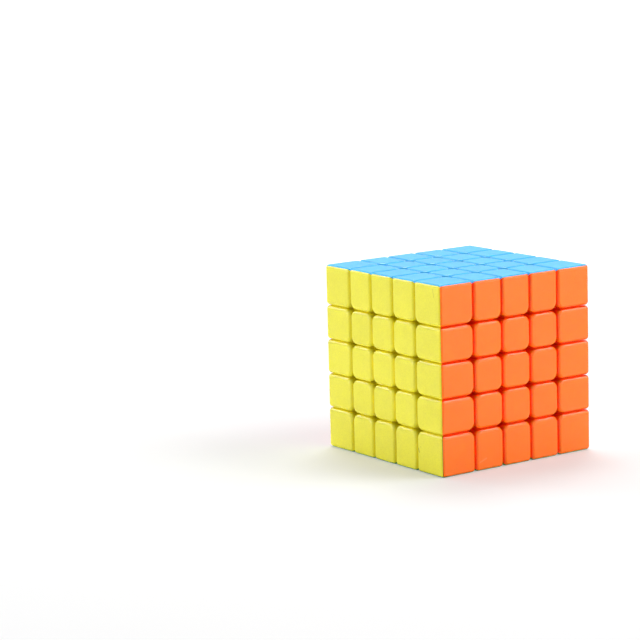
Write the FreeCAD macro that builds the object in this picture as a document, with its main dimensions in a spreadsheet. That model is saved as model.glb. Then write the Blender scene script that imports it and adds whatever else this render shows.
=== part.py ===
import FreeCAD, Part
import math
import os
import Sketcher

# Twisty puzzle cube with five layers along each axis, in millimetres.
# The origin is the cube's centre, +Z is up, and every layer turns about X, Y or Z.
# Each layer boundary is a surface of revolution, so a layer turns without touching its neighbours.

doc = FreeCAD.newDocument("TwistyCube")
sheet = doc.addObject("Spreadsheet::Sheet", "Sizes")

driving_sizes = [
    ("inner_layer", 11.6, "thickness of each of the three inner layers"),
    ("outer_layer", 13.6, "thickness of each of the two outer layers"),
    ("layer_gap", 0.2, "gap between two neighbouring cubies"),
    ("edge_round", 1.2, "round along the outline of every coloured face"),
    ("corner_round", 2.6, "round where four cubies meet"),
    ("shell_wall", 1.25, "wall of a coloured shell and of a hollow foot"),
    ("shell_depth", 5.0, "how deep a coloured shell reaches below its face"),
    ("shell_seam", 0.08, "seam between two coloured shells of one cubie"),
    ("core_radius", 13.7, "ball that the six centres are screwed to"),
    ("core_clearance", 0.2, "gap between the ball and the feet that ride on it"),
    ("foot_height", 5.1, "height of the undercut feet above the ball"),
    ("shoulder_rise", 1.2, "how much the undercut's shoulder rises towards the stalk"),
    ("corner_stalk_angle", 3.3, "half angle of a corner's stalk about the cube's diagonal"),
    ("outer_undercut_angle", 5.3, "how far an outer layer's feet reach under the next layer"),
    ("inner_foot_rise", 11.5, "rise of the middle layer's edge at the feet"),
    ("screw_radius", 1.5, "shank of a centre screw"),
    ("screw_fit", 0.05, "radial clearance of a screw in the ball"),
    ("screw_bore_clearance", 0.2, "radial clearance of a screw in a fixed centre"),
    ("screw_length", 19.0, "shank of a centre screw below its head"),
    ("screw_head_radius", 2.9, "head of a centre screw"),
    ("screw_head_height", 1.9, "head of a centre screw"),
    ("drive_width", 0.8, "slot of the cross drive in a screw head"),
    ("drive_arm", 1.7, "half length of the cross drive"),
    ("drive_depth", 1.1, "depth of the cross drive"),
    ("spring_radius", 2.6, "middle of the spring's wire from the screw's axis"),
    ("spring_wire", 0.5, "diameter of the spring's wire"),
    ("spring_height", 5.0, "height of a fitted spring, end to end"),
    ("spring_turns", 5.0, "turns of a spring"),
    ("spring_pocket_clearance", 0.35, "radial clearance round a spring"),
    ("pocket_floor", 19.6, "distance from the cube's centre to a spring pocket's floor"),
    ("washer_height", 0.5, "thickness of the washer under a screw head"),
    ("recess_depth", 2.1, "depth of the recess for a spacer washer in the ball"),
    ("spacer_clearance", 0.3, "radial clearance of a spacer washer in its recess"),
    ("spacer_radius", 4.0, "spacer washer between the ball and a fixed centre"),
    ("spacer_height", 1.4, "thickness of a spacer washer"),
    ("stack_clearance", 0.1, "gap between stacked pieces on a screw"),
]


class Size:
    # A number with the sheet expression that gives it, so the two can't drift apart.
    def __init__(self, value, text):
        self.value = value
        self.text = text

    def joined(self, other, value, sign):
        text = other.text if isinstance(other, Size) else repr(float(other))
        return Size(value, "(" + self.text + sign + text + ")")

    def __add__(self, other):
        return self.joined(other, self.value + number(other), " + ")

    def __sub__(self, other):
        return self.joined(other, self.value - number(other), " - ")

    def __mul__(self, other):
        return self.joined(other, self.value * number(other), " * ")

    def __truediv__(self, other):
        return self.joined(other, self.value / number(other), " / ")

    def __neg__(self):
        return Size(-self.value, "(0 - " + self.text + ")")


def number(item):
    return item.value if isinstance(item, Size) else float(item)


def constant(value):
    return Size(float(value), repr(float(value)))


def sine(angle):
    return Size(math.sin(math.radians(angle.value)), "sin(" + angle.text + ")")


def cosine(angle):
    return Size(math.cos(math.radians(angle.value)), "cos(" + angle.text + ")")


def tangent(angle):
    return Size(math.tan(math.radians(angle.value)), "tan(" + angle.text + ")")


def root(square):
    return Size(math.sqrt(square.value), "sqrt(" + square.text + ")")


size = {}
for row, (alias, value, note) in enumerate(driving_sizes, start=1):
    sheet.set("A%d" % row, alias)
    sheet.set("B%d" % row, str(value))
    sheet.setAlias("B%d" % row, alias)
    sheet.set("C%d" % row, note)
    size[alias] = Size(float(value), "Sizes." + alias)
doc.recompute()

# Sizes worked out from the driving ones.
half_gap = size["layer_gap"] / 2
first_cut = size["inner_layer"] / 2
second_cut = first_cut + size["inner_layer"]
half_side = second_cut + size["outer_layer"]
# Long enough for any cutting shape to pass right through the cube.
reach = half_side * 2
feet_bottom = size["core_radius"] + size["core_clearance"]
feet_top = feet_bottom + size["foot_height"]
shell_floor = half_side - size["shell_depth"]
diagonal_angle = constant(math.degrees(math.acos(1 / math.sqrt(3))))
outer_cone = diagonal_angle + size["corner_stalk_angle"]
outer_foot_cone = outer_cone + size["outer_undercut_angle"]
inner_foot_cone = constant(90) - size["inner_foot_rise"]
layer_range = {
    0: (-(first_cut - half_gap), first_cut - half_gap),
    1: (first_cut + half_gap, second_cut - half_gap),
    2: (second_cut + half_gap, half_side),
}
axis_vector = [FreeCAD.Vector(1, 0, 0), FreeCAD.Vector(0, 1, 0), FreeCAD.Vector(0, 0, 1)]
zero = constant(0)


def bind(item, **sizes):
    # Ties each named property of an object to the sheet; a dot in a path is written as two underscores.
    for path, value in sizes.items():
        item.setExpression(path.replace("__", "."), value.text)


def origin_plane(body, role):
    for feature in body.Origin.OriginFeatures:
        if feature.Role == role:
            return feature
    return None


def new_sketch(body, name, role):
    sketch = body.newObject("Sketcher::SketchObject", name)
    sketch.AttachmentSupport = [(origin_plane(body, role), "")]
    sketch.MapMode = "FlatFace"
    return sketch


def fix(sketch, value, *constraint):
    # Adds one dimension and ties it to the sheet.
    index = sketch.addConstraint(Sketcher.Constraint(*constraint))
    sketch.setExpression("Constraints[%d]" % index, value.text)


def draw_polygon(sketch, points):
    # A closed outline of straight lines, each corner's two coordinates tied to the sheet.
    corners = [FreeCAD.Vector(across.value, along.value, 0) for across, along in points]
    for start, end in zip(corners, corners[1:] + corners[:1]):
        sketch.addGeometry(Part.LineSegment(start, end))
    for line, (across, along) in enumerate(points):
        previous = (line - 1) % len(points)
        sketch.addConstraint(Sketcher.Constraint("Coincident", previous, 2, line, 1))
        if across.value == 0:
            sketch.addConstraint(Sketcher.Constraint("PointOnObject", line, 1, -2))
        else:
            fix(sketch, across, "DistanceX", -1, 1, line, 1, across.value)
        if along.value == 0:
            sketch.addConstraint(Sketcher.Constraint("PointOnObject", line, 1, -1))
        else:
            fix(sketch, along, "DistanceY", -1, 1, line, 1, along.value)


# Caps: the space above a layer boundary, a solid of revolution about +Z.
# A piece above the boundary is kept by the cap pulled in by half a gap,
# and a piece below it is cut by the cap grown by half a gap.
# The hollow of a foot is made in the same way, with both caps a wall further in.
cap_start = feet_bottom / 2
wall_inset = half_gap + size["shell_wall"]
cap_shift = {
    "pulled_in": half_gap,
    "grown": -half_gap,
    "wall_pulled_in": wall_inset,
    "wall_grown": -wall_inset,
}


def on_cone(distance, cone, lift):
    # A point of a half section at a distance from the lifted apex of a cone about the axis.
    return distance * sine(cone), distance * cosine(cone) + lift


def cap_section(boundary, shift):
    step = feet_top - shift
    neck = step + size["shoulder_rise"]
    if boundary == 2:
        foot_cone = outer_foot_cone
        level = second_cut + shift
        cone_lift = shift / sine(outer_cone)
        bend = ((level - cone_lift) * tangent(outer_cone), level)
        stalk = [on_cone(neck, outer_cone, cone_lift), bend]
    else:
        foot_cone = inner_foot_cone
        level = first_cut + shift
        stalk = [(root(neck * neck - level * level), level)]
    foot_lift = shift / sine(foot_cone)
    foot = [on_cone(cap_start, foot_cone, foot_lift), on_cone(step, foot_cone, foot_lift)]
    outside = [(reach, level), (reach, reach), (zero, reach), (zero, cap_start)]
    return foot + stalk + outside


def revolved(name, points):
    body = doc.addObject("PartDesign::Body", name)
    sketch = new_sketch(body, name + "_section", "XZ_Plane")
    draw_polygon(sketch, points)
    turned = body.newObject("PartDesign::Revolution", name + "_turned")
    turned.Profile = sketch
    turned.ReferenceAxis = (sketch, ["V_Axis"])
    turned.Angle = 360
    return body


cap_body = {}
for boundary, boundary_name in ((1, "inner_cap_"), (2, "outer_cap_")):
    for state, shift in cap_shift.items():
        cap_body[boundary, state] = revolved(boundary_name + state, cap_section(boundary, shift))
doc.recompute()


def frame_rotation(first, second):
    # The rotation that takes local X and Y to two of the cube's axes.
    return FreeCAD.Rotation(first, second, first.cross(second), "XYZ")


def linked(target, name, rotation):
    copy = doc.addObject("App::Link", name)
    copy.LinkedObject = target
    copy.Placement = FreeCAD.Placement(FreeCAD.Vector(0, 0, 0), rotation)
    return copy


caps = {}


def cap(boundary, state, axis, direction=1):
    # A cap about one axis, its seam turned away from the corner where the cubies are built.
    key = (boundary, state, axis, direction)
    if key not in caps:
        body = cap_body[boundary, state]
        along = axis_vector[axis] * direction
        away = FreeCAD.Vector(-1, -1, -1)
        away = away - along * away.dot(along)
        away.normalize()
        rotation = FreeCAD.Rotation(away, along.cross(away), along, "ZXY")
        name = body.Name + ("_about_" if direction > 0 else "_about_minus_") + "xyz"[axis]
        caps[key] = linked(body, name, rotation)
    return caps[key]


def new_box(kind, owner, name, low, high):
    # A box between two corners, each coordinate tied to the sheet.
    box = owner.newObject(kind, name) if owner is not doc else doc.addObject(kind, name)
    for side, start, end in zip(("Length", "Width", "Height"), low, high):
        setattr(box, side, end.value - start.value)
        box.setExpression(side, (end - start).text)
    box.Placement.Base = FreeCAD.Vector(*[start.value for start in low])
    for letter, start in zip("xyz", low):
        box.setExpression("Placement.Base." + letter, start.text)
    return box


def edges_where(shape, wanted):
    return ["Edge%d" % (i + 1) for i, edge in enumerate(shape.Edges) if wanted(edge)]


def on_plane(edge, axis, place):
    near = 1e-4
    box = edge.BoundBox
    low = (box.XMin, box.YMin, box.ZMin)[axis]
    high = (box.XMax, box.YMax, box.ZMax)[axis]
    return abs(low - place) < near and abs(high - place) < near


def rounded_block(body, name, kind):
    # The cubie's outer block with its four-way corners and outlines rounded.
    low = [layer_range[index][0] for index in kind]
    high = [layer_range[index][1] for index in kind]
    seen = [axis for axis in range(3) if kind[axis] == 2]
    if len(seen) == 1:
        low[0] = shell_floor
    block = new_box("PartDesign::AdditiveBox", body, name + "_block", low, high)
    doc.recompute()

    def four_way(edge):
        # Edges that run to a coloured face between two inner sides of the block.
        box = edge.BoundBox
        spans = (box.XLength, box.YLength, box.ZLength)
        along = spans.index(max(spans))
        if along not in seen:
            return False
        for axis in range(3):
            if axis != along and kind[axis] == 2 and on_plane(edge, axis, high[axis].value):
                return False
        return True

    big = body.newObject("PartDesign::Fillet", name + "_four_way_rounds")
    big.Base = (block, edges_where(block.Shape, four_way))
    bind(big, Radius=size["corner_round"])
    doc.recompute()

    def outline(edge):
        return any(on_plane(edge, axis, half_side.value) for axis in seen)

    small = body.newObject("PartDesign::Fillet", name + "_outline_rounds")
    small.Base = (big, edges_where(big.Shape, outline))
    bind(small, Radius=size["edge_round"])
    doc.recompute()


def cavity_range(kind):
    # The hollow inside a cubie, a wall in from each side.
    wall = size["shell_wall"]
    low = [layer_range[index][0] + wall for index in kind]
    high = [layer_range[index][1] - wall for index in kind]
    return low, high


def shell_body(name, kind):
    # All coloured shells of one cubie before they are parted at their seams.
    body = doc.addObject("PartDesign::Body", name + "_shells")
    rounded_block(body, name, kind)
    seen = [axis for axis in range(3) if kind[axis] == 2]
    hollow_low, hollow_high = cavity_range(kind)
    if len(seen) == 1:
        hollow_low[0] = shell_floor - size["shell_wall"]
    else:
        foot_low = [zero - reach if index != 2 else zero for index in kind]
        foot_high = [reach if index != 2 else shell_floor for index in kind]
        new_box("PartDesign::SubtractiveBox", body, name + "_foot_room", foot_low, foot_high)
    new_box("PartDesign::SubtractiveBox", body, name + "_shell_hollow", hollow_low, hollow_high)
    if len(seen) == 1:
        for axis in range(1, 3):
            if kind[axis] == 1:
                cone = body.newObject("PartDesign::SubtractiveCone", name + "_relief_" + "xyz"[axis])
                cone.Radius1 = 0
                bind(cone, Radius2=half_side * tangent(outer_cone), Height=half_side)
                cone.Placement.Rotation = FreeCAD.Rotation(axis_vector[2], axis_vector[axis])
                lowered = -(half_gap / sine(outer_cone))
                cone.setExpression("Placement.Base." + "xyz"[axis], lowered.text)
    doc.recompute()
    return body


def wedge_body():
    # The half space x > y past the seam, as a thick triangle.
    body = doc.addObject("PartDesign::Body", "seam_side")
    sketch = new_sketch(body, "seam_side_outline", "XY_Plane")
    inset = size["shell_seam"] / math.sqrt(2)
    draw_polygon(sketch, [(inset, zero), (reach, zero), (reach, reach - inset)])
    pad = body.newObject("PartDesign::Pad", "seam_side_pad")
    pad.Profile = sketch
    pad.Midplane = True
    bind(pad, Length=reach * 2)
    doc.recompute()
    return body


seam_side = wedge_body()
seam_part = {}
for first in range(3):
    for second in range(3):
        if first != second:
            rotation = frame_rotation(axis_vector[first], axis_vector[second])
            name = "seam_side_" + "xyz"[first] + "_over_" + "xyz"[second]
            seam_part[first, second] = linked(seam_side, name, rotation)


def boolean(kind, name, base, tool):
    result = doc.addObject(kind, name)
    result.Base = base
    result.Tool = tool
    return result


def new_ball(name, radius):
    ball = doc.addObject("Part::Sphere", name)
    bind(ball, Radius=radius)
    ball.Placement.Rotation = FreeCAD.Rotation(FreeCAD.Vector(0, 1, 0), FreeCAD.Vector(-1, -2, 0))
    return ball


ball_room = new_ball("ball_room", feet_bottom)
ball_wall_room = new_ball("ball_wall_room", feet_bottom + size["shell_wall"])


def in_layer(piece, name, index, axis, wall):
    # Keeps what lies in one layer of one axis; wall is "wall_" for the hollow of a foot.
    label = name + "_layer_" + "xyz"[axis]
    pulled_in = wall + "pulled_in"
    grown = wall + "grown"
    if index == 2:
        return boolean("Part::Common", label, piece, cap(2, pulled_in, axis))
    if index == 1:
        above = boolean("Part::Common", label + "_above", piece, cap(1, pulled_in, axis))
        return boolean("Part::Cut", label, above, cap(2, grown, axis))
    below = boolean("Part::Cut", label + "_below", piece, cap(1, grown, axis))
    return boolean("Part::Cut", label, below, cap(1, grown, axis, -1))


def foot_form(name, kind, ball, wall=""):
    # What a cubie has below its shells: its layers on all axes, outside a ball.
    low = [zero if index else -second_cut for index in kind]
    high = [shell_floor if index == 2 else half_side for index in kind]
    room = new_box("Part::Box", doc, name + "_room", low, high)
    form = boolean("Part::Cut", name + "_over_ball", room, ball)
    several_faces = kind.count(2) > 1
    for axis in range(3):
        if kind[axis] != 2 or several_faces:
            form = in_layer(form, name, kind[axis], axis, wall)
    return form


def foot_hollow(name, kind):
    # A corner's stalk is too thin to be hollow, so only its cube-shaped part is.
    if kind.count(2) == 3:
        low, high = cavity_range(kind)
        return new_box("Part::Box", doc, name + "_foot_hollow", low, high)
    return foot_form(name + "_foot_hollow", kind, ball_wall_room, "wall_")


def new_cylinder(name, radius, low, high):
    # A cylinder on +Z between two heights.
    cylinder = doc.addObject("Part::Cylinder", name)
    bind(cylinder, Radius=radius, Height=high - low, Placement__Base__z=low)
    return cylinder


def gathered(name, pieces):
    group = doc.addObject("Part::Compound", name)
    group.Links = pieces
    return group


up = axis_vector[2]
bore_radius = size["screw_radius"] + size["screw_bore_clearance"]
spring_outer = size["spring_radius"] + size["spring_wire"] / 2
pocket_radius = spring_outer + size["spring_pocket_clearance"]
to_x_axis = FreeCAD.Rotation(up, axis_vector[0])


def screw_room():
    # The bore and the spring pocket of a fixed centre, about +X.
    bore = new_cylinder("screw_bore", bore_radius, cap_start, half_side)
    pocket = new_cylinder("spring_pocket", pocket_radius, size["pocket_floor"], half_side)
    both = boolean("Part::Fuse", "screw_room", bore, pocket)
    both.Placement.Rotation = to_x_axis
    return both


def cubie(name, kind):
    # One cubie as a group of separate solids: its coloured shells and its foot.
    shells = shell_body(name, kind)
    seen = [axis for axis in range(3) if kind[axis] == 2]
    pieces = []
    for first in seen:
        part = shells
        for second in seen:
            if second != first:
                label = name + "_shell_" + "xyz"[first] + "_over_" + "xyz"[second]
                part = boolean("Part::Common", label, part, seam_part[first, second])
        pieces.append(part)
    foot = foot_form(name + "_foot", kind, ball_room)
    room = screw_room() if name == "fixed_centre" else foot_hollow(name, kind)
    return gathered(name, pieces + [boolean("Part::Cut", name + "_foot_opened", foot, room)])


cubie_kinds = {
    "corner": (2, 2, 2),
    "wing": (2, 2, 1),
    "mid_edge": (2, 2, 0),
    "diagonal_centre": (2, 1, 1),
    "cross_centre": (2, 1, 0),
    "fixed_centre": (2, 0, 0),
}
cubie_groups = {name: cubie(name, kind) for name, kind in cubie_kinds.items()}

# Every turn of the cube onto itself, from three quarter-turn angles.
quarters = [0, 90, 180, 270]
turn_angles = [(yaw, pitch, roll) for yaw in quarters for pitch in quarters for roll in quarters]
whole_turns = [FreeCAD.Rotation(*angles) for angles in turn_angles]


def turn_onto(kind, place):
    near = 1e-6
    for rotation in whole_turns:
        turned = rotation.multVec(FreeCAD.Vector(*kind))
        if turned.distanceToPoint(FreeCAD.Vector(*place)) < near:
            return rotation
    return None


side_words = [{2: "right", -2: "left"}, {2: "back", -2: "front"}, {2: "up", -2: "down"}]
slice_words = {1: "upper", -1: "lower"}


def node_name(place):
    # The node that holds the cubie at this place: pieces that always move together share one.
    right, back, high = place
    outer = [side_words[axis][place[axis]] for axis in (2, 1, 0) if abs(place[axis]) == 2]
    stem = "_".join(outer)
    if len(outer) == 3:
        return stem + "_corner"
    if len(outer) == 2:
        if 0 in place:
            return stem + "_edge"
        if abs(high) == 1:
            return stem + "_" + slice_words[high] + "_wing"
        return stem + "_wings"
    if abs(high) == 2:
        steps_off_centre = abs(right) + abs(back)
        return stem + ("_fixed_centre", "_cross_centres", "_diagonal_centres")[steps_off_centre]
    return stem + "_" + slice_words.get(high, "middle") + "_centres"


def kind_of(place):
    ordered = tuple(sorted((abs(index) for index in place), reverse=True))
    for name, kind in cubie_kinds.items():
        if kind == ordered:
            return name
    return None


layers = [-2, -1, 0, 1, 2]
places = [(x, y, z) for x in layers for y in layers for z in layers if 2 in (abs(x), abs(y), abs(z))]
node_pieces = {}
for place in places:
    name = kind_of(place)
    label = name + "_at_" + "_".join(str(index).replace("-", "minus") for index in place)
    placed = linked(cubie_groups[name], label, turn_onto(cubie_kinds[name], place))
    node_pieces.setdefault(node_name(place), []).append(placed)


# The core: a ball with a recess for a spacer and a hole for a screw on each of its six axes.
six_ways = [FreeCAD.Rotation(up, axis_vector[axis] * sign) for axis in (2, 0, 1) for sign in (1, -1)]
recess_floor = size["core_radius"] - size["recess_depth"]
spring_floor = size["pocket_floor"] + size["stack_clearance"]
washer_floor = spring_floor + size["spring_height"] + size["stack_clearance"]
head_floor = washer_floor + size["washer_height"] + size["stack_clearance"]
screw_tip = head_floor - size["screw_length"]
hole_floor = screw_tip - size["stack_clearance"]
ball = new_ball("core_ball", size["core_radius"])
recess_radius = size["spacer_radius"] + size["spacer_clearance"]
hole_radius = size["screw_radius"] + size["screw_fit"]
recess = new_cylinder("spacer_recess", recess_radius, recess_floor, feet_top)
hole = new_cylinder("screw_hole", hole_radius, hole_floor, feet_top)
core_cut = boolean("Part::Fuse", "core_cut", recess, hole)
core_cuts = doc.addObject("Part::MultiFuse", "core_cuts")
core_cuts.Shapes = [linked(core_cut, "core_cut_%d" % way, six_ways[way]) for way in range(6)]
core = boolean("Part::Cut", "core_solid", ball, core_cuts)


def screw():
    # A cross-head screw along +Z, its head above its spring.
    shank = new_cylinder("screw_shank", size["screw_radius"], screw_tip, head_floor)
    head_top = head_floor + size["screw_head_height"]
    head = new_cylinder("screw_head", size["screw_head_radius"], head_floor, head_top)
    blank = boolean("Part::Fuse", "screw_blank", shank, head)
    half_slot = size["drive_width"] / 2
    arm = size["drive_arm"]
    slot_floor = head_top - size["drive_depth"]
    slot_top = head_top + size["drive_depth"]
    low = [-arm, -half_slot, slot_floor]
    high = [arm, half_slot, slot_top]
    along = new_box("Part::Box", doc, "drive_slot_along", low, high)
    low = [-half_slot, -arm, slot_floor]
    high = [half_slot, arm, slot_top]
    across = new_box("Part::Box", doc, "drive_slot_across", low, high)
    cross = boolean("Part::Fuse", "drive_cross", along, across)
    return boolean("Part::Cut", "screw", blank, cross)


def ring(name, inner, outer, low, high):
    overrun = size["stack_clearance"]
    disc = new_cylinder(name + "_disc", outer, low, high)
    bore = new_cylinder(name + "_bore", inner, low - overrun, high + overrun)
    return boolean("Part::Cut", name, disc, bore)


def spring():
    # A round wire coiled up the axis of a screw.
    body = doc.addObject("PartDesign::Body", "spring")
    sketch = new_sketch(body, "spring_section", "XZ_Plane")
    wire_radius = size["spring_wire"] / 2
    low = spring_floor + wire_radius
    centre = FreeCAD.Vector(size["spring_radius"].value, low.value, 0)
    sketch.addGeometry(Part.Circle(centre, FreeCAD.Vector(0, 0, 1), wire_radius.value))
    fix(sketch, wire_radius, "Radius", 0, wire_radius.value)
    fix(sketch, size["spring_radius"], "DistanceX", -1, 1, 0, 3, centre.x)
    fix(sketch, low, "DistanceY", -1, 1, 0, 3, centre.y)
    coil = body.newObject("PartDesign::AdditiveHelix", "spring_coil")
    coil.Profile = sketch
    coil.ReferenceAxis = (sketch, ["V_Axis"])
    coil.Mode = "height-turns-angle"
    bind(coil, Height=size["spring_height"] - size["spring_wire"], Turns=size["spring_turns"])
    return body


screw_piece = screw()
spring_piece = spring()
washer_top = washer_floor + size["washer_height"]
washer_piece = ring("head_washer", bore_radius, spring_outer, washer_floor, washer_top)
spacer_floor = recess_floor + size["stack_clearance"]
spacer_top = spacer_floor + size["spacer_height"]
spacer_piece = ring("spacer", bore_radius, size["spacer_radius"], spacer_floor, spacer_top)


def six(piece, ways):
    return [linked(piece, piece.Name + "_way_%d" % way, six_ways[way]) for way in ways]


every_way = range(6)
node_pieces["core"] = [core]
node_pieces["centre_screws"] = six(screw_piece, every_way)
node_pieces["centre_springs"] = six(spring_piece, every_way)
node_pieces["centre_washers"] = six(washer_piece, every_way) + six(spacer_piece, every_way[2:])
node_pieces["upper_slice_washer"] = six(spacer_piece, every_way[:1])
node_pieces["lower_slice_washer"] = six(spacer_piece, every_way[1:2])
nodes = {name: gathered(name + "_node", pieces) for name, pieces in node_pieces.items()}
for name, node in nodes.items():
    node.Label = name
doc.recompute()

# Nothing is written unless every object and every node is sound.
for item in doc.Objects:
    if "Invalid" in item.State or "Error" in item.State:
        raise RuntimeError(item.Name + " did not build")
for name, node in nodes.items():
    shape = node.Shape
    if shape.isNull() or not shape.isValid() or not shape.Solids:
        raise RuntimeError(name + " has no sound shape")

os.makedirs("parts", exist_ok=True)
for name, node in nodes.items():
    node.Shape.exportStep("parts/" + name + ".step")
solids = sum(len(node.Shape.Solids) for node in nodes.values())
volume = sum(node.Shape.Volume for node in nodes.values())
print("%d nodes, %d solids, %.1f cubic centimetres" % (len(nodes), solids, volume / 1000))
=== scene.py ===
import math
import bpy
from mathutils import Matrix, Vector


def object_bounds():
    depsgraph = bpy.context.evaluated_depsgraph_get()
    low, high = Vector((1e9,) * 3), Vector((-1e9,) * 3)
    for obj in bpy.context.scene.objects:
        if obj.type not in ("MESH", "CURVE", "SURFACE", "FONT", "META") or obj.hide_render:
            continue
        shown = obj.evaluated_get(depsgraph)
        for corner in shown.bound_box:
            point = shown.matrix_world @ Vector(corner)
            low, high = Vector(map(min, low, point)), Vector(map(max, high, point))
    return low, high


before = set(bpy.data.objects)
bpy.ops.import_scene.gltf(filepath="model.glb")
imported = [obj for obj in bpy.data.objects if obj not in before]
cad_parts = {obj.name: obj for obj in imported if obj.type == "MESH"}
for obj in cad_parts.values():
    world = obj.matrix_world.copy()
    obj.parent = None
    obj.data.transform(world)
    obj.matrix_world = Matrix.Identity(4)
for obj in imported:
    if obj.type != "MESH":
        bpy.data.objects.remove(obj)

# Twisty cube, five layers a side, in metres about its centre.
# Blue is up, yellow towards -Y and orange towards +X. All its shapes are the CAD's own.

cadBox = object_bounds()
halfSide = cadBox[1].z
print("frame loaded:", len(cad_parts), "nodes, side", round(2000 * halfSide, 2), "mm")

cube = {
    "nearCut": 0.0058,       # planes between the layers, from the centre
    "farCut": 0.0174,
    "shellFloor": 0.02598,   # just below the shells: deeper than this a cubie is its dark foot
}


# Node helpers

nodeGrid = {"across": 190, "down": 170, "rows": 12}


def addNode(tree, kind, **values):
    node = tree.nodes.new(kind)
    column, row = divmod(len(tree.nodes), nodeGrid["rows"])
    node.location = (column * nodeGrid["across"], -row * nodeGrid["down"])
    for name, value in values.items():
        setattr(node, name, value)
    return node


def plug(tree, socket, value):
    # Wires an output into a socket, or writes a number or a colour on it.
    if hasattr(value, "is_output"):
        tree.links.new(value, socket)
    elif isinstance(value, (int, float)):
        socket.default_value = value
    else:
        socket.default_value = (*value, 1.0) if len(socket.default_value) == 4 else value


def plugAll(tree, sockets, values):
    for socket, value in zip(sockets, values):
        plug(tree, socket, value)


def mathNode(tree, operation, *values):
    node = addNode(tree, "ShaderNodeMath", operation=operation)
    plugAll(tree, node.inputs, values)
    return node.outputs[0]


def vectorNode(tree, operation, *values):
    node = addNode(tree, "ShaderNodeVectorMath", operation=operation)
    plugAll(tree, node.inputs, values)
    givesNumber = operation in ("DOT_PRODUCT", "LENGTH", "DISTANCE")
    return node.outputs["Value" if givesNumber else "Vector"]


def joined(tree, *values):
    # Up to three numbers as one vector.
    node = addNode(tree, "ShaderNodeCombineXYZ")
    plugAll(tree, node.inputs, values)
    return node.outputs[0]


def parted(tree, vector):
    node = addNode(tree, "ShaderNodeSeparateXYZ")
    plug(tree, node.inputs[0], vector)
    return tuple(node.outputs)


def ramp(tree, value, reach, result=(0.0, 1.0), kind="SMOOTHSTEP"):
    # Takes a value from one range to another and holds it at the ends.
    node = addNode(tree, "ShaderNodeMapRange", interpolation_type=kind)
    plugAll(tree, node.inputs, (value, *reach, *result))
    return node.outputs["Result"]


def mixColour(tree, factor, first, second):
    node = addNode(tree, "ShaderNodeMix", data_type="RGBA")
    colourInputs = [socket for socket in node.inputs if socket.type == "RGBA"]
    plugAll(tree, (node.inputs["Factor"], *colourInputs), (factor, first, second))
    return [socket for socket in node.outputs if socket.type == "RGBA"][0]


def noiseNode(tree, vector, scale, detail, roughness):
    node = addNode(tree, "ShaderNodeTexNoise")
    plug(tree, node.inputs["Vector"], vector)
    node.inputs["Scale"].default_value = scale
    node.inputs["Detail"].default_value = detail
    node.inputs["Roughness"].default_value = roughness
    return node.outputs["Fac"]


def noiseRamp(tree, vector, noise, kind="SMOOTHSTEP"):
    # A noise pattern stretched between two values.
    pattern = noiseNode(tree, vector, *noise["pattern"])
    return ramp(tree, pattern, noise["reach"], noise["result"], kind)


def bumpNode(tree, height, distance, under=None):
    node = addNode(tree, "ShaderNodeBump")
    node.inputs["Distance"].default_value = distance
    plug(tree, node.inputs["Height"], height)
    if under:
        tree.links.new(under, node.inputs["Normal"])
    return node


def newMaterial(name):
    material = bpy.data.materials.new(name)
    material.use_nodes = True
    tree = material.node_tree
    tree.nodes.clear()
    output = addNode(tree, "ShaderNodeOutputMaterial")
    shader = addNode(tree, "ShaderNodeBsdfPrincipled")
    tree.links.new(shader.outputs[0], output.inputs["Surface"])
    return material, tree, shader


class Place:
    # Where a point of the cube is: its coordinates, and how they rank by distance from the centre.
    def __init__(self, tree):
        coords = addNode(tree, "ShaderNodeTexCoord")
        self.point = coords.outputs["Object"]
        self.normal = coords.outputs["Normal"]
        self.x, self.y, self.z = parted(tree, self.point)
        self.signed = (self.x, self.y, self.z)
        self.away = [mathNode(tree, "ABSOLUTE", value) for value in self.signed]
        absX, absY, absZ = self.away
        level = mathNode(tree, "MAXIMUM", absX, absY)
        narrow = mathNode(tree, "MINIMUM", absX, absY)
        self.largest = mathNode(tree, "MAXIMUM", level, absZ)
        self.second = mathNode(tree, "MAXIMUM", narrow, mathNode(tree, "MINIMUM", level, absZ))
        self.xOverY = mathNode(tree, "GREATER_THAN", absX, absY)
        self.zOverAll = mathNode(tree, "GREATER_THAN", absZ, level)


# The coloured shells, and the dark feet below them

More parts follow.
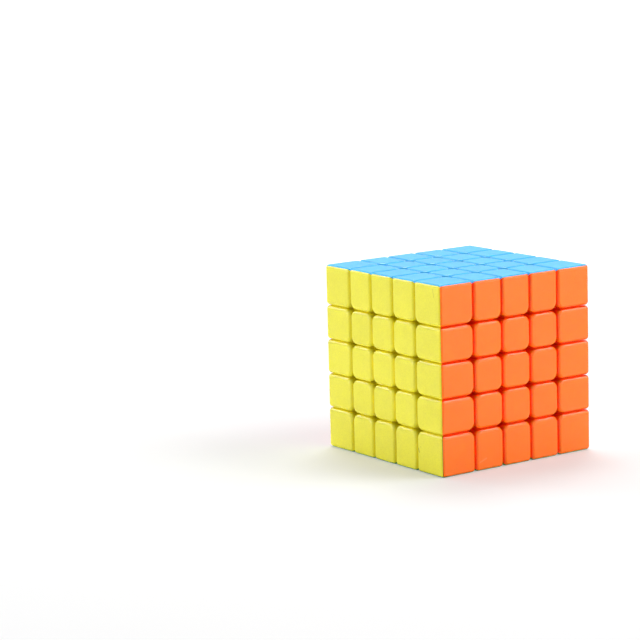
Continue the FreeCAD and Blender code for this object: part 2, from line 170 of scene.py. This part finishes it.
sideNames = {"x": ("red", "orange"), "y": ("yellow", "white"), "z": ("green", "blue")}
shellPlastic = {
    # Linear light: the flat of a face, and the darker, more saturated tone of painted shade at its
    # edges and in its gaps, standing in for shade and light bounced between cubies.
    "faces": {
        "blue": (0.045, 0.480, 0.860),
        "green": (0.020, 0.400, 0.100),
        "yellow": (0.800, 0.750, 0.044),
        "white": (0.700, 0.700, 0.685),
        "orange": (1.000, 0.180, 0.004),
        "red": (0.520, 0.012, 0.011),
    },
    "edges": {
        "blue": (0.040, 0.460, 0.900),
        "green": (0.005, 0.330, 0.060),
        "yellow": (0.800, 0.700, 0.018),
        "white": (0.640, 0.640, 0.625),
        "orange": (1.000, 0.075, 0.004),
        "red": (0.500, 0.005, 0.005),
    },
    "gapReach": (0.0002, 0.0009),        # from the middle of a gap
    "wallReach": (0.0008, 0.0022),       # below the face
    "outlineReach": (0.0, 0.0013),       # from the cube's own edges
    # Painted shade on the cube's own rounded edges: how much of the darker tone they take
    "outlineShadeShare": 0.15,
    "cubieTint": (0.965, 1.014),
    "speckle": {"pattern": (2300.0, 1.0, 0.5), "reach": (0.2, 0.8), "result": (0.94, 1.06)},
    "drift": {"pattern": (160.0, 3.0, 0.6), "reach": (0.3, 0.7), "result": (0.975, 1.012)},
    # Frosting on the flats, smoother rounds
    "flatness": (0.93, 0.997),
    "roughness": (0.17, 0.43),           # on the rounds and on the flats
    "roughPatch": {"pattern": (420.0, 4.0, 0.6), "reach": (0.3, 0.7), "result": (-0.04, 0.05)},
    "grain": (3600.0, 3.0, 0.65),
    "grainShare": (0.35, 1.0),
    "grainHeight": 0.000011,
    "sink": (75.0, 1.0, 0.4),
    "sinkHeight": 0.00012,
    "specular": 0.36,
    "subsurface": 0.75,
    "subsurfaceReach": 0.0024,
    # Painted glow: emission on a gap's walls in place of light that comes through the plastic, but
    # not where four cubies meet
    "throughLight": 0.11,
    "throughGap": (0.0002, 0.0005),
    "throughDepth": (0.0006, 0.0012),
    "throughCrossing": (0.0015, 0.0035),
}
footPlastic = {
    "base": (0.022, 0.022, 0.024),
    "pale": (0.045, 0.045, 0.048),
    "rubbed": {"pattern": (320.0, 4.0, 0.65), "reach": (0.4, 0.7), "result": (0.0, 1.0)},
}
# Darker along the seams between a cubie's coloured shells, in patches, and most in the lowest front
# corner
seamDarkening = {
    "colour": (0.03, 0.025, 0.02),
    "reach": (0.00003, 0.00022),
    "patchiness": {"pattern": (140.0, 4.0, 0.7), "reach": (0.55, 0.8), "result": (0.06, 0.3)},
    "lowCorner": 0.85,                   # in the lowest front corner
}
# Small marks: face, start and end across and up it, half width, strength, colour
markFaces = 0.0305                       # how far out the faces' flats lie at least
markRim = 0.3                            # share of a mark's half width that is full
marks = [
    ("yellow", (0.02745, 0.02942), (0.02788, 0.02693), 0.00016, 0.55, (0.30, 0.27, 0.03)),
    ("yellow", (0.01848, -0.02323), (0.01896, -0.02446), 0.00030, 0.65, (0.16, 0.14, 0.03)),
    ("yellow", (0.01960, -0.02250), (0.01985, -0.02262), 0.00022, 0.40, (0.20, 0.17, 0.03)),
    ("orange", (-0.01576, -0.02804), (-0.01327, -0.02710), 0.00040, 0.30, (1.00, 0.42, 0.17)),
]


def sideColour(tree, place, colours):
    # The colour of the face that a point belongs to, parted at the planes between the shells.
    pairs = []
    for axis, value in zip("xyz", place.signed):
        low, high = [colours[name] for name in sideNames[axis]]
        pairs.append(mixColour(tree, mathNode(tree, "GREATER_THAN", value, 0.0), low, high))
    level = mixColour(tree, place.xOverY, pairs[1], pairs[0])
    return mixColour(tree, place.zOverAll, level, pairs[2])


def cubieTone(tree, place):
    # A number of its own for every cubie, from the layers it lies in.
    layers = []
    for value in place.signed:
        total = 0.0
        for cut in (-cube["farCut"], -cube["nearCut"], cube["nearCut"], cube["farCut"]):
            total = mathNode(tree, "ADD", mathNode(tree, "GREATER_THAN", value, cut), total)
        layers.append(total)
    tone = addNode(tree, "ShaderNodeTexWhiteNoise", noise_dimensions="3D")
    tree.links.new(joined(tree, *layers), tone.inputs["Vector"])
    return tone.outputs["Value"]


def gapDistances(tree, place):
    # How far a point is from the nearest plane between two layers, and from the next one across it.
    perAxis = []
    for value in place.away:
        steps = []
        for cut in (cube["nearCut"], cube["farCut"]):
            steps.append(mathNode(tree, "ABSOLUTE", mathNode(tree, "SUBTRACT", value, cut)))
        perAxis.append(mathNode(tree, "MINIMUM", *steps))
    first, other, last = perAxis
    low = mathNode(tree, "MINIMUM", first, other)
    high = mathNode(tree, "MAXIMUM", first, other)
    nearest = mathNode(tree, "MINIMUM", low, last)
    return nearest, mathNode(tree, "MAXIMUM", low, mathNode(tree, "MINIMUM", high, last))


def withSeamDarkening(tree, place, colour, settings):
    # A darker colour along the seams between shells, in noise patches, and strongest in the lowest
    # front corner cubie
    gap = mathNode(tree, "SUBTRACT", place.largest, place.second)
    seam = ramp(tree, gap, settings["reach"], (1.0, 0.0))
    share = noiseRamp(tree, place.point, settings["patchiness"])
    furthest = mathNode(tree, "MAXIMUM", place.z, place.y)
    furthest = mathNode(tree, "MAXIMUM", furthest, mathNode(tree, "MULTIPLY", place.x, -1.0))
    lowCorner = mathNode(tree, "LESS_THAN", furthest, -cube["farCut"])
    lowCorner = mathNode(tree, "MULTIPLY", lowCorner, settings["lowCorner"])
    share = mathNode(tree, "MAXIMUM", share, lowCorner)
    return mixColour(tree, mathNode(tree, "MULTIPLY", seam, share), colour, settings["colour"])


def markMask(tree, across, up, start, end, width):
    # A thin stroke between two points of a face, soft at its rim.
    run = Vector((end[0] - start[0], end[1] - start[1], 0))
    fromStart = vectorNode(tree, "SUBTRACT", joined(tree, across, up), (*start, 0))
    share = vectorNode(tree, "DOT_PRODUCT", fromStart, tuple(run / run.length_squared))
    share = ramp(tree, share, (0.0, 1.0), kind="LINEAR")
    stroke = addNode(tree, "ShaderNodeVectorMath", operation="SCALE")
    stroke.inputs[0].default_value = run
    tree.links.new(share, stroke.inputs["Scale"])
    gap = vectorNode(tree, "DISTANCE", fromStart, stroke.outputs[0])
    return ramp(tree, gap, (width * markRim, width), (1.0, 0.0))


def withMarks(tree, place, colour):
    faces = {
        "yellow": (place.x, mathNode(tree, "LESS_THAN", place.y, -markFaces)),
        "orange": (place.y, mathNode(tree, "GREATER_THAN", place.x, markFaces)),
    }
    for face, start, end, width, strength, tint in marks:
        across, onFace = faces[face]
        mask = markMask(tree, across, place.z, start, end, width)
        mask = mathNode(tree, "MULTIPLY", mask, onFace)
        mask = mathNode(tree, "MULTIPLY", mask, strength)
        colour = mixColour(tree, mask, colour, tint)
    return colour


def makeShellPlastic(settings):
    material, tree, shader = newMaterial("FrostedShellPlastic")
    place = Place(tree)
    isShell = mathNode(tree, "GREATER_THAN", place.largest, cube["shellFloor"])

    # Face colour, with painted shade: the darker, more saturated tone near the gaps, down their
    # walls and on the cube's own edges
    flat = sideColour(tree, place, settings["faces"])
    paintedShadeTone = sideColour(tree, place, settings["edges"])
    toGap, toCrossing = gapDistances(tree, place)
    depth = mathNode(tree, "SUBTRACT", halfSide, place.largest)
    toOutline = mathNode(tree, "SUBTRACT", halfSide, place.second)
    nearGap = ramp(tree, toGap, settings["gapReach"], (1.0, 0.0))
    wall = ramp(tree, depth, settings["wallReach"])
    outline = ramp(tree, toOutline, settings["outlineReach"], (settings["outlineShadeShare"], 0.0))
    paintedGapShade = mathNode(tree, "MAXIMUM", mathNode(tree, "MAXIMUM", nearGap, wall), outline)
    colour = mixColour(tree, paintedGapShade, flat, paintedShadeTone)

    # Tint of each cubie, speckle of the frosting and slow drifts in the moulded plastic
    shade = ramp(tree, cubieTone(tree, place), (0.0, 1.0), settings["cubieTint"], "LINEAR")
    speckle = noiseRamp(tree, place.point, settings["speckle"], "LINEAR")
    drift = noiseRamp(tree, place.point, settings["drift"], "LINEAR")
    shade = mathNode(tree, "MULTIPLY", mathNode(tree, "MULTIPLY", shade, speckle), drift)
    colour = vectorNode(tree, "MULTIPLY", colour, joined(tree, shade, shade, shade))
    colour = withSeamDarkening(tree, place, colour, seamDarkening)
    colour = withMarks(tree, place, colour)
    rubbed = noiseRamp(tree, place.point, footPlastic["rubbed"])
    foot = mixColour(tree, rubbed, footPlastic["base"], footPlastic["pale"])
    colour = mixColour(tree, isShell, foot, colour)
    plug(tree, shader.inputs["Base Color"], colour)

    # Roughness and grain, both less on the rounds
    normalX, normalY, normalZ = parted(tree, vectorNode(tree, "ABSOLUTE", place.normal))
    squarest = mathNode(tree, "MAXIMUM", mathNode(tree, "MAXIMUM", normalX, normalY), normalZ)
    flatness = ramp(tree, squarest, settings["flatness"])
    rough = ramp(tree, flatness, (0.0, 1.0), settings["roughness"], "LINEAR")
    patch = noiseRamp(tree, place.point, settings["roughPatch"], "LINEAR")
    plug(tree, shader.inputs["Roughness"], mathNode(tree, "ADD", rough, patch))
    sink = noiseNode(tree, place.point, *settings["sink"])
    sinkBump = bumpNode(tree, sink, settings["sinkHeight"])
    grain = noiseNode(tree, place.point, *settings["grain"])
    grainBump = bumpNode(tree, grain, settings["grainHeight"], sinkBump.outputs[0])
    grainShare = ramp(tree, flatness, (0.0, 1.0), settings["grainShare"], "LINEAR")
    plug(tree, grainBump.inputs["Strength"], grainShare)
    plug(tree, shader.inputs["Normal"], grainBump.outputs[0])

    # Painted glow in the gaps, and light scattered in the plastic
    paintedGlow = ramp(tree, depth, settings["throughDepth"])
    paintedGlow = mathNode(tree, "MULTIPLY", paintedGlow, ramp(tree, toGap, settings["throughGap"], (1.0, 0.0)))
    paintedGlow = mathNode(tree, "MULTIPLY", paintedGlow, ramp(tree, toCrossing, settings["throughCrossing"]))
    paintedGlow = mathNode(tree, "MULTIPLY", paintedGlow, isShell)
    paintedGlow = mathNode(tree, "MULTIPLY", paintedGlow, settings["throughLight"])
    plug(tree, shader.inputs["Emission Color"], paintedShadeTone)
    plug(tree, shader.inputs["Emission Strength"], paintedGlow)
    shader.subsurface_method = "BURLEY"
    subsurface = mathNode(tree, "MULTIPLY", isShell, settings["subsurface"])
    plug(tree, shader.inputs["Subsurface Weight"], subsurface)
    plug(tree, shader.inputs["Subsurface Radius"], colour)
    shader.inputs["Subsurface Scale"].default_value = settings["subsurfaceReach"]
    shader.inputs["Specular IOR Level"].default_value = settings["specular"]
    return material


# Dark moulded core, and the zinc-plated screws, springs and washers on it

corePlastic = {
    "base": (0.060, 0.060, 0.064),
    "pale": (0.110, 0.110, 0.115),
    "cloud": {"pattern": (190.0, 5.0, 0.6), "reach": (0.35, 0.7), "result": (0.0, 1.0)},
    "roughness": {"pattern": (520.0, 4.0, 0.6), "reach": (0.3, 0.7), "result": (0.28, 0.50)},
    "partingReach": (0.00005, 0.00022),
    "partingRise": 2.0,
    "grain": (1400.0, 3.0, 0.6),
    "grainHeight": 0.00003,
}


def makeCorePlastic(settings):
    material, tree, shader = newMaterial("CoreNylon")
    place = Place(tree)
    cloud = noiseRamp(tree, place.point, settings["cloud"])
    colour = mixColour(tree, cloud, settings["base"], settings["pale"])
    plug(tree, shader.inputs["Base Color"], colour)
    plug(tree, shader.inputs["Roughness"], noiseRamp(tree, place.point, settings["roughness"]))
    # The mould's parting line round the ball, and its fine grain
    parting = mathNode(tree, "ABSOLUTE", mathNode(tree, "SUBTRACT", place.away[0], place.away[1]))
    parting = ramp(tree, parting, settings["partingReach"], (1.0, 0.0))
    grain = noiseNode(tree, place.point, *settings["grain"])
    height = mathNode(tree, "MULTIPLY_ADD", parting, settings["partingRise"], grain)
    plug(tree, shader.inputs["Normal"], bumpNode(tree, height, settings["grainHeight"]).outputs[0])
    return material


metalMarks = {
    "stretch": (60.0, 6.0),              # of the drawn marks, round and along the screw's axis
    "drawn": (60.0, 5.0, 0.7),
    "drawnReach": (0.3, 0.7),
    "cloud": {"pattern": (420.0, 4.0, 0.6), "reach": (0.35, 0.7), "result": (0.0, 1.0)},
}
screwSteel = {
    "base": (0.62, 0.62, 0.63), "tarnish": (0.50, 0.48, 0.42), "roughness": (0.22, 0.44),
    "ringRate": 30000.0, "ringShare": 0.8, "markHeight": 0.000012,
}
springSteel = {
    "base": (0.55, 0.55, 0.57), "tarnish": (0.42, 0.41, 0.40), "roughness": (0.26, 0.48),
    "ringRate": 60000.0, "ringShare": 0.3, "markHeight": 0.000008,
}
washerSteel = {
    "base": (0.66, 0.66, 0.67), "tarnish": (0.56, 0.55, 0.52), "roughness": (0.28, 0.50),
    "ringRate": 18000.0, "ringShare": 0.5, "markHeight": 0.000010,
}


def makeMetal(name, settings):
    material, tree, shader = newMaterial(name)
    place = Place(tree)
    # Distance from the screw's own axis, for turned and stamped marks round it
    length = vectorNode(tree, "LENGTH", place.point)
    square = mathNode(tree, "MULTIPLY", length, length)
    along = mathNode(tree, "MULTIPLY", place.largest, place.largest)
    radius = mathNode(tree, "SQRT", mathNode(tree, "SUBTRACT", square, along))
    rings = mathNode(tree, "SINE", mathNode(tree, "MULTIPLY", radius, settings["ringRate"]))
    around, down = metalMarks["stretch"]
    stretched = joined(tree, mathNode(tree, "MULTIPLY", radius, around),
                       mathNode(tree, "MULTIPLY", place.largest, down))
    drawn = noiseNode(tree, stretched, *metalMarks["drawn"])
    cloud = noiseRamp(tree, place.point, metalMarks["cloud"])
    colour = mixColour(tree, cloud, settings["base"], settings["tarnish"])
    plug(tree, shader.inputs["Base Color"], colour)
    rough = ramp(tree, drawn, metalMarks["drawnReach"], settings["roughness"])
    plug(tree, shader.inputs["Roughness"], rough)
    height = mathNode(tree, "MULTIPLY_ADD", rings, settings["ringShare"], drawn)
    plug(tree, shader.inputs["Normal"], bumpNode(tree, height, settings["markHeight"]).outputs[0])
    shader.inputs["Metallic"].default_value = 1.0
    return material


shellMaterial = makeShellPlastic(shellPlastic)
washerMaterial = makeMetal("WasherSteel", washerSteel)
innerMaterials = {
    "core": makeCorePlastic(corePlastic),
    "centre_screws": makeMetal("ScrewZinc", screwSteel),
    "centre_springs": makeMetal("SpringWire", springSteel),
    "centre_washers": washerMaterial,
    "upper_slice_washer": washerMaterial,
    "lower_slice_washer": washerMaterial,
}
for name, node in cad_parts.items():
    node.data.materials.clear()
    node.data.materials.append(innerMaterials.get(name, shellMaterial))
print("materials given to", len(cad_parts), "nodes")


# Floor, light and camera

studio = {
    "floorSize": 24.0,
    "floorBounce": 0.93,
    "floorSeen": 0.64,
    "glow": (0.26, 1.00),    # white of the floor by itself, near the cube and far from it
    "glowReach": (0.22, 0.70),
    "skyLight": 0.26,        # what the white surroundings give as plain light
    # Name, place, side and power of each lamp; all point at the cube
    "lamps": [
        ("overheadSoftbox", (-0.46, 0.32, 1.06), 0.60, 8.6),
        ("orangeRimSoftbox", (0.53, 0.68, 0.84), 0.60, 6.6),
        ("yellowRimSoftbox", (-0.97, -0.43, 0.56), 0.50, 3.4),
        ("rightSoftbox", (1.24, 0.60, 0.24), 0.55, 6.6),
        ("leftSoftbox", (-0.60, -1.24, 0.24), 0.55, 8.2),
    ],
}


def makeFloorMaterial(settings):
    # For the camera the floor is darker but glows by itself, so it is white and keeps its shadow.
    material = bpy.data.materials.new("PaleFloor")
    material.use_nodes = True
    tree = material.node_tree
    tree.nodes.clear()
    coords = addNode(tree, "ShaderNodeTexCoord")
    away = vectorNode(tree, "LENGTH", coords.outputs["Object"])
    glow = addNode(tree, "ShaderNodeEmission")
    strength = ramp(tree, away, settings["glowReach"], settings["glow"])
    plug(tree, glow.inputs["Strength"], strength)
    seen = addNode(tree, "ShaderNodeBsdfDiffuse")
    plug(tree, seen.inputs["Color"], (settings["floorSeen"],) * 3)
    bounce = addNode(tree, "ShaderNodeBsdfDiffuse")
    plug(tree, bounce.inputs["Color"], (settings["floorBounce"],) * 3)
    both = addNode(tree, "ShaderNodeAddShader")
    plugAll(tree, both.inputs, (glow.outputs[0], seen.outputs[0]))
    rays = addNode(tree, "ShaderNodeLightPath")
    mixed = addNode(tree, "ShaderNodeMixShader")
    plugAll(tree, mixed.inputs, (rays.outputs["Is Camera Ray"], bounce.outputs[0], both.outputs[0]))
    output = addNode(tree, "ShaderNodeOutputMaterial")
    tree.links.new(mixed.outputs[0], output.inputs["Surface"])
    return material


def makeFloor(settings):
    half = settings["floorSize"] / 2
    mesh = bpy.data.meshes.new("studioFloor")
    corners = [(-half, -half, 0), (half, -half, 0), (half, half, 0), (-half, half, 0)]
    mesh.from_pydata(corners, [], [(0, 1, 2, 3)])
    mesh.materials.append(makeFloorMaterial(settings))
    floor = bpy.data.objects.new("studioFloor", mesh)
    floor.location.z = cadBox[0].z
    bpy.context.scene.collection.objects.link(floor)


def makeWorld(settings):
    # White for the camera and in reflections, less as light.
    world = bpy.data.worlds.new("studioWorld")
    bpy.context.scene.world = world
    world.use_nodes = True
    tree = world.node_tree
    background = tree.nodes["Background"]
    background.inputs["Color"].default_value = (1, 1, 1, 1)
    rays = addNode(tree, "ShaderNodeLightPath").outputs
    seen = mathNode(tree, "MAXIMUM", rays["Is Camera Ray"], rays["Is Glossy Ray"])
    seen = mathNode(tree, "MAXIMUM", seen, rays["Is Transmission Ray"])
    strength = ramp(tree, seen, (0.0, 1.0), (settings["skyLight"], 1.0), "LINEAR")
    plug(tree, background.inputs["Strength"], strength)


def makeSoftbox(name, place, side, power):
    data = bpy.data.lights.new(name, "AREA")
    data.size = side
    data.energy = power
    lamp = bpy.data.objects.new(name, data)
    lamp.location = place
    lamp.rotation_euler = (-Vector(place)).to_track_quat("-Z", "Y").to_euler()
    bpy.context.scene.collection.objects.link(lamp)


cameraSettings = {
    "place": (0.62895, -0.49525, 0.15435),
    "direction": (-0.806926, 0.564595, -0.173502),
    "roll": -1.575,          # degrees
    "lens": 137.96,
    "sensor": 36.0,
    "clip": (0.02, 50),
}


def makeCamera(settings):
    data = bpy.data.cameras.new("photoCamera")
    data.sensor_width = settings["sensor"]
    data.lens = settings["lens"]
    data.clip_start, data.clip_end = settings["clip"]
    camera = bpy.data.objects.new("photoCamera", data)
    level = Vector(settings["direction"]).to_track_quat("-Z", "Y").to_matrix().to_4x4()
    roll = Matrix.Rotation(math.radians(settings["roll"]), 4, "Z")
    camera.matrix_world = Matrix.Translation(settings["place"]) @ level @ roll
    bpy.context.scene.collection.objects.link(camera)
    bpy.context.scene.camera = camera


makeFloor(studio)
makeWorld(studio)
for lampSettings in studio["lamps"]:
    makeSoftbox(*lampSettings)
makeCamera(cameraSettings)
bpy.context.scene.view_settings.view_transform = "Standard"
print("studio ready")
